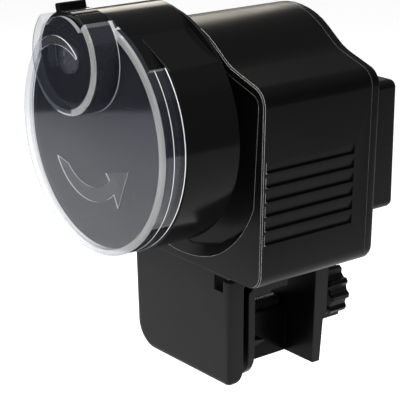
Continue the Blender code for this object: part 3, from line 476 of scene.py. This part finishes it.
# Near-white and lighter-haze materials for the cap's edges: painted highlights standing in for
# light caught along the clear plastic's edges.
EDGE = clear("edge", (0.90, 0.90, 0.90), 0.85, (0.98, 0.98, 0.98), 0.2, 1.0)
CAP_EDGE_DIM_HIGHLIGHT = clear("faint_edge", (0.85, 0.86, 0.88), 0.35, (0.90, 0.91, 0.94), 0.2, 1.0)
BOSS = clear("boss", (0.93, 0.94, 0.96), 0.07, (0.80, 0.82, 0.92), 0.15, 1.0)
WINDOW = clear("window", (0.85, 0.88, 0.88), 0.02, (0.7, 0.75, 0.8), 0.03)

PAINT = {
    "housing": SHELL_BLACK, "rear_cover": COVER_BLACK, "battery_door": SHELL_BLACK,
    "control_box": BOX_BLACK, "control_panel": BOX_BLACK, "display_window": WINDOW,
    "display_module": LCD, "circuit_board": BOARD, "battery_tray": SATIN_BLACK,
    "jaw_pad": RUBBER, "motor": STEEL, "gear_plate": SATIN_BLACK, "limit_switch": SATIN_BLACK,
    "index_cam": ACETAL, "output_shaft": ACETAL, "drive_gear": ACETAL, "motor_pinion": BRASS,
    "drum": DRUM_BLACK, "cap": CLEAR, "gate": GATE_BLACK, "clamp_bracket": CLAMP_BLACK,
    "clamp_nut": STEEL, "clamp_screw": THREAD_BLACK, "clamp_knob": KNOB_BLACK,
    "pressure_plate": PLATE_BLACK, "lead_red": LEAD_RED, "lead_black": SATIN_BLACK,
}
for number in (1, 2, 3, 4):
    PAINT["cover_screw_%d" % number] = BLACK_STEEL
for number in (1, 2):
    PAINT["bracket_screw_%d" % number] = BLACK_STEEL
    PAINT["cell_%d" % number] = CELL
    PAINT["contact_%d" % number] = STEEL
    PAINT["contact_spring_%d" % number] = STEEL
for place_name in ("left", "middle", "right"):
    PAINT["button_" + place_name] = BUTTON_GREY
    PAINT["switch_" + place_name] = SATIN_BLACK


def edge_group():
    """Node group that smooths every edge below a set angle."""
    group = bpy.data.node_groups.new("smooth_by_angle", 'GeometryNodeTree')
    group.interface.new_socket("Geometry", in_out='INPUT', socket_type='NodeSocketGeometry')
    group.interface.new_socket("Geometry", in_out='OUTPUT', socket_type='NodeSocketGeometry')
    nodes, links = group.nodes, group.links
    start = nodes.new("NodeGroupInput")
    end = nodes.new("NodeGroupOutput")
    angle = nodes.new("GeometryNodeInputMeshEdgeAngle")
    compare = nodes.new("FunctionNodeCompare")
    compare.data_type = 'FLOAT'
    compare.operation = 'LESS_EQUAL'
    compare.inputs["B"].default_value = SMOOTH_ANGLE
    faces = nodes.new("GeometryNodeSetShadeSmooth")
    faces.domain = 'FACE'
    edges = nodes.new("GeometryNodeSetShadeSmooth")
    edges.domain = 'EDGE'
    links.new(angle.outputs["Unsigned Angle"], compare.inputs["A"])
    links.new(start.outputs[0], faces.inputs["Geometry"])
    links.new(faces.outputs["Geometry"], edges.inputs["Geometry"])
    links.new(compare.outputs[0], edges.inputs["Shade Smooth"])
    links.new(edges.outputs["Geometry"], end.inputs[0])
    return group


SMOOTH = edge_group()


def dress(node, material):
    """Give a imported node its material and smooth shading."""
    item = NODES[node]
    item.data.materials.clear()
    item.data.materials.append(material)
    weld = item.modifiers.new("weld", 'WELD')
    weld.merge_threshold = WELD
    by_angle = item.modifiers.new("angle", 'NODES')
    by_angle.node_group = SMOOTH
    weigh_normals(item)


# ---------------------------------------------------------------- drum, cap, gate

def drum_outline(radius):
    """Round drum whose top is two flats under a smaller dome."""
    end = math.atan2(FLAT_END[0], FLAT_END[1])
    points = arc(0.0, 0.0, radius, end, 2.0 * math.pi - end, 150)
    half = math.atan2(FLAT_TOP[0], FLAT_TOP[1] - DOME_Z)
    points += arc(0.0, DOME_Z, DOME_R, -half, half, 40)
    return points


def flange_outline():
    """The drum's full circle joined with the dome."""
    points = []
    for i in range(180):
        a = 2.0 * math.pi * i / 180.0
        reach = DRUM_R
        s, c = math.sin(a), math.cos(a)
        if c > 0.0:
            b = DOME_Z * c
            dome = b + math.sqrt(max(0.0, b * b - DOME_Z ** 2 + DOME_R ** 2))
            reach = max(reach, dome)
        points.append((reach * s, reach * c))
    return points


def make_drum():
    drum = raw(slab(drum_outline(DRUM_NECK_R), 2.6 * MM, 8.4 * MM, 0.3 * MM, 0.05 * MM))
    fuse(drum, slab(drum_outline(DRUM_R), 7.9 * MM, 25.6 * MM, 0.45 * MM, 0.05 * MM))
    fuse(drum, slab(flange_outline(), 25.2 * MM, 26.3 * MM, 0.2 * MM, 0.3 * MM))
    fuse(drum, rod(6.0 * MM, 25.8 * MM, 34.6 * MM))
    cut(drum, along_y(inset(drum_outline(DRUM_NECK_R), 2.0 * MM), 0.0, 24.2 * MM))
    cut(drum, rod(3.25 * MM, 27.2 * MM, 40.0 * MM))
    place(drum, "fine_drum", "food_drum", [DRUM_BLACK], "drum")


def arrow_outline():
    outer = arc(0.0, -1.0 * MM, 18.0 * MM, math.radians(243), math.radians(138), 40)
    head = [(13.9 * MM, -18.1 * MM), (19.0 * MM, -6.2 * MM), (8.3 * MM, -8.9 * MM),
            (10.1 * MM, -10.9 * MM)]
    inner = arc(0.0, -0.2 * MM, 14.6 * MM, math.radians(141), math.radians(226), 36)
    return outer + head + inner


def wedge_outline():
    outer = arc(-2.5 * MM, 16.7 * MM, 12.7 * MM, math.radians(-38), math.radians(50), 36)
    inner = arc(-1.5 * MM, 12.1 * MM, 14.9 * MM, math.radians(35), math.radians(-36), 30)
    return outer + inner


def cut_sector():
    """Opening in the cup's wall, which the gate's tab moves along."""
    points = arc(0.0, CUP_Z, CUT_R, CUT_LEFT, CUT_RIGHT, 40)
    points += arc(0.0, CUP_Z, 19.0 * MM, CUT_RIGHT, CUT_LEFT, 40)
    return points


def make_cap():
    """Clear cap; its cut and chamfered edges carry the frosted material and painted edge
    highlights.
    """
    cap = raw(turned([(32.9 * MM, 0.0), (34.3 * MM, 0.25 * MM), (CAP_R, 0.8 * MM),
                      (CAP_R, 7.3 * MM), (CAP_R, 7.6 * MM)], 0.0, 0.0, 180))
    cut(cap, rod(33.5 * MM, 1.5 * MM, 12.0 * MM, 0.0, 0.0, 180))
    wedge = [(0.0, 0.0)] + arc(0.0, 0.0, 60.0 * MM, -SKIRT_START, SKIRT_START, 12)
    cut(cap, along_y(wedge, 2.3 * MM, 12.0 * MM))
    fuse(cap, turned([(13.8 * MM, CUP_FACE), (14.9 * MM, CUP_FACE + 0.02 * MM),
                      (15.4 * MM, CUP_FACE + 0.15 * MM), (CUP_R, CUP_FACE + 0.6 * MM),
                      (CUP_R, -0.2 * MM), (CUP_R + 0.15 * MM, 0.05 * MM), (CUP_R, 1.0 * MM),
                      (CUP_R, 1.7 * MM)], 0.0, CUP_Z, 120))
    cut(cap, rod(CUP_WALL_R, CUP_FACE + 1.2 * MM, 6.0 * MM, 0.0, CUP_Z, 120))
    cut(cap, along_y(cut_sector(), -12.0 * MM, 6.0 * MM))
    fuse(cap, turned([(3.9 * MM, -7.3 * MM), (3.9 * MM, -5.8 * MM), (3.5 * MM, -5.4 * MM)],
                     BOSS_X, CUP_Z, 48))
    fuse(cap, skirt_line())
    fuse(cap, along_y(arrow_outline(), -0.4 * MM, 0.3 * MM))
    fuse(cap, along_y(wedge_outline(), CUP_FACE - 0.28 * MM, CUP_FACE + 0.3 * MM))
    marks = [cap_finish_and_highlights(face.center / MM, face.normal) for face in cap.data.polygons]
    place(cap, "clear_cap_moulding", "clear_cap",
          [CLEAR, FROST, MARK, EDGE, CAP_EDGE_DIM_HIGHLIGHT, BOSS], "cap")
    cap.data.polygons.foreach_set("material_index", marks)


def skirt_line():
    """Fine raised line part of the way along the skirt."""
    start = SKIRT_START + 0.01
    inner = arc(0.0, 0.0, CAP_R - 0.3 * MM, start, 2.0 * math.pi - start, 150)
    outer = arc(0.0, 0.0, CAP_R + 0.10 * MM, 2.0 * math.pi - start, start, 150)
    return along_y(outer + inner, 3.47 * MM, 3.67 * MM)


# Finishes of the cap's faces; the bright and dim edge ones are painted highlights.
PLAIN, FROSTED, RAISED, LIT_EDGE, DIM_EDGE, BOSSED = range(6)


def cap_finish_and_highlights(c, n):
    """Material of a cap face from its centre in mm, in the drum's coordinates, and normal; the
    bright and dim edge materials are painted highlights.
    """
    cup_z = CUP_Z / MM
    face_y = CUP_FACE / MM
    reach = math.hypot(c.x, c.z)
    cup_reach = math.hypot(c.x, c.z - cup_z)
    sideways = abs(n.y) < 0.3
    # Painted highlight: raised sides facing down and to the left get the bright edge material,
    # the others the dim one.
    painted_lit_side = -0.6 * n.x - 0.8 * n.z > 0.2
    # Arrow on the cap's face, then wedge on the cup's face.
    if c.y < -0.1 and cup_reach > 16.5:
        return (LIT_EDGE if painted_lit_side else DIM_EDGE) if sideways else RAISED
    if c.y < face_y - 0.05 and cup_reach < 13.0:
        return LIT_EDGE if sideways else RAISED
    # Boss behind the cup's face, then the foot ring of the cup.
    if math.hypot(c.x - BOSS_X / MM, c.z - cup_z) < 4.0 and -7.0 < c.y < -5.0:
        # Painted highlight on the boss's upper right rear edge.
        return LIT_EDGE if n.x + n.z > 1.2 and n.y > 0.3 else BOSSED
    if 15.72 < cup_reach < 16.1 and c.y > -0.4:
        return DIM_EDGE
    # Skirt: its fine line, front chamfer, rear edge and the two ends of the cut-away.
    if reach > 34.92 and 3.0 < c.y < 4.0:
        return LIT_EDGE
    if reach > 32.8 and -0.05 < c.y < 0.85:
        return FROSTED
    if reach > 32.0 and c.y > 7.4:
        return LIT_EDGE
    if 33.4 < reach < 34.95 and c.y > 1.6 and abs(n.x * c.z - n.z * c.x) > 0.5 * reach:
        return DIM_EDGE
    # Rim of the cup's face, then the walls of its cut.
    if 13.85 < cup_reach < 15.75 and c.y < -7.6:
        # Painted light: the rim is frosted on its right part and outermost band, dim between,
        # and clear on the left, lighter on the side facing the light.
        if c.x > 4.0 or cup_reach > 15.4:
            return FROSTED
        return DIM_EDGE if c.x > -3.0 and cup_reach > 15.0 else PLAIN
    if sideways and 11.7 < cup_reach < 12.3 and c.z > cup_z:
        return FROSTED
    across = abs(n.x * (c.z - cup_z) - n.z * c.x)
    if sideways and cup_reach > 12.0 and across > 0.7 * cup_reach:
        return FROSTED
    return PLAIN


def make_gate():
    """Ring inside the cup with a window, three grooves and a thumb tab."""
    gate = raw(turned([(12.2 * MM, GATE_FRONT), (13.2 * MM, GATE_FRONT),
                       (13.4 * MM, GATE_FRONT + 0.2 * MM), (13.4 * MM, GATE_REAR),
                       (12.2 * MM, GATE_REAR)], 0.0, CUP_Z, 120, True))
    low, high = math.radians(-112), math.radians(-80)
    window = arc(0.0, CUP_Z, 10.0 * MM, low, high, 20)
    window += arc(0.0, CUP_Z, 20.0 * MM, high, low, 20)
    cut(gate, along_y(window, -5.0 * MM, 0.6 * MM))
    for degrees in (-4.0, 6.0, 16.0):
        a = math.radians(degrees)
        groove = arc(0.0, CUP_Z, 13.0 * MM, a - 0.03, a + 0.03, 2)
        groove += arc(0.0, CUP_Z, 16.0 * MM, a + 0.03, a - 0.03, 2)
        cut(gate, along_y(groove, -7.6 * MM, 3.0 * MM))
    a = math.radians(-16.0)
    s, c = math.sin(a), math.cos(a)
    tab = []
    for across, reach in ((-1.2, 12.9), (1.2, 12.9), (1.2, 15.2), (1.0, 15.5), (0.7, 15.6),
                          (-0.7, 15.6), (-1.0, 15.5), (-1.2, 15.2)):
        tab.append((across * MM * c + reach * MM * s, CUP_Z - across * MM * s + reach * MM * c))
    fuse(gate, along_y(tab, GATE_FRONT, GATE_REAR))
    place(gate, "fine_gate", "dose_gate", [GATE_BLACK], "gate")


# ---------------------------------------------------------------- clamp screw

def make_screw():
    """Threaded rod with a true right-handed helix over its threaded length."""
    steps = 32
    low, high = 46.4 * MM, 70.4 * MM
    rows = int(round((high - low) / THREAD_PITCH)) * 8
    sections = [[(x, 44.3 * MM, z) for x, z in circle(2.0 * MM, steps, 0.0, SCREW_Z)],
                [(x, 44.6 * MM, z) for x, z in circle(2.2 * MM, steps, 0.0, SCREW_Z)],
                [(x, 46.3 * MM, z) for x, z in circle(2.2 * MM, steps, 0.0, SCREW_Z)]]
    for i in range(rows + 1):
        y = low + (high - low) * i / rows
        section = []
        for k in range(steps):
            a = 2.0 * math.pi * k / steps
            turn = ((y - low) / THREAD_PITCH - a / (2.0 * math.pi)) % 1.0
            wave = 1.0 - abs(2.0 * turn - 1.0)
            r = (2.45 + 0.55 * min(1.0, wave * 1.15)) * MM
            section.append((r * math.cos(a), y, SCREW_Z + r * math.sin(a)))
        sections.append(section)
    for r, y in ((3.0, 70.5), (3.0, 88.0), (2.4, 88.0), (2.4, 92.0)):
        sections.append([(x, y * MM, z) for x, z in circle(r * MM, steps, 0.0, SCREW_Z)])
    screw = raw(loft(sections))
    place(screw, "fine_screw", "screw_and_knob", [THREAD_BLACK], "clamp_screw")


# ---------------------------------------------------------------- stage

def glow(name, size, location, target, energy, size_y=None, color=None, mirrored=True):
    """Area light aimed at the target; with mirrored off, reflections leave it out."""
    data = bpy.data.lights.new(name, 'AREA')
    data.energy = energy
    data.size = size
    if size_y:
        data.shape = 'RECTANGLE'
        data.size_y = size_y
    lamp = bpy.data.objects.new(name, data)
    bpy.context.scene.collection.objects.link(lamp)
    lamp.location = location
    lamp.visible_glossy = mirrored
    if color:
        data.color = color
    way = Vector(target) - Vector(location)
    lamp.rotation_euler = way.to_track_quat('-Z', 'Y').to_euler()


def make_stage():
    """White surroundings, pale floor and five soft lights."""
    world = bpy.data.worlds.new("studio")
    bpy.context.scene.world = world
    world.use_nodes = True
    back = world.node_tree.nodes["Background"]
    back.inputs["Color"].default_value = (1.0, 1.0, 1.0, 1.0)
    back.inputs["Strength"].default_value = 0.30
    bm = bmesh.new()
    bmesh.ops.create_grid(bm, x_segments=1, y_segments=1, size=4.0)
    floor = raw(bm)
    floor.name = "floor"
    floor.location = (0.0, 0.0, FLOOR_Z)
    material = shader("floor")[0]
    main = material.node_tree.nodes["Principled BSDF"]
    main.inputs["Base Color"].default_value = (0.55, 0.55, 0.55, 1.0)
    main.inputs["Roughness"].default_value = 0.9
    main.inputs["Emission Color"].default_value = (1.0, 1.0, 1.0, 1.0)
    main.inputs["Emission Strength"].default_value = 0.72
    floor.data.materials.append(material)
    make_surround()
    middle = (0.0, 0.0, 0.04)
    glow("overhead", 0.45, (-0.10, -0.15, 0.75), middle, 7.0)
    glow("left", 0.40, (-0.75, -0.45, 0.35), middle, 5.0, 0.6)
    glow("front_right", 0.35, (0.55, -0.75, 0.55), middle, 3.5, 0.5)
    glow("right", 0.45, (0.85, 0.35, 0.35), middle, 3.0, 0.5, mirrored=False)
    glow("roof", 0.30, (-0.60, 0.44, 0.38), middle, 1.4, 0.24, color=(1.0, 0.93, 0.82))


def make_surround():
    """Dark curtain that shows only in reflections, so glossy sides mirror a dark room."""
    bm = bmesh.new()
    bmesh.ops.create_cone(bm, cap_ends=False, segments=64, radius1=CURTAIN_R,
                          radius2=CURTAIN_R, depth=CURTAIN_HEIGHT)
    curtain = raw(bm)
    curtain.name = "curtain"
    curtain.location = (0.0, 0.0, FLOOR_Z + CURTAIN_HEIGHT / 2.0)
    material = shader("curtain")[0]
    main = material.node_tree.nodes["Principled BSDF"]
    main.inputs["Base Color"].default_value = (0.025, 0.027, 0.032, 1.0)
    main.inputs["Roughness"].default_value = 1.0
    main.inputs["Specular IOR Level"].default_value = 0.0
    curtain.data.materials.append(material)
    curtain.visible_camera = False
    curtain.visible_shadow = False
    curtain.visible_diffuse = False


def make_camera():
    data = bpy.data.cameras.new("camera")
    data.sensor_width = 36.0
    data.lens = 138.47
    data.clip_start, data.clip_end = 0.01, 20.0
    camera = bpy.data.objects.new("camera", data)
    bpy.context.scene.collection.objects.link(camera)
    camera.location = (0.347885, -0.274344, 0.178816)
    back = Vector((0.7461, -0.5919, 0.3049))
    camera.rotation_mode = 'QUATERNION'
    camera.rotation_quaternion = (-back).to_track_quat('-Z', 'Y')
    bpy.context.scene.camera = camera


for node_name, paint in PAINT.items():
    dress(node_name, paint)
make_drum()
make_cap()
make_gate()
make_screw()
make_stage()
make_camera()
bpy.context.scene.view_settings.view_transform = 'Standard'
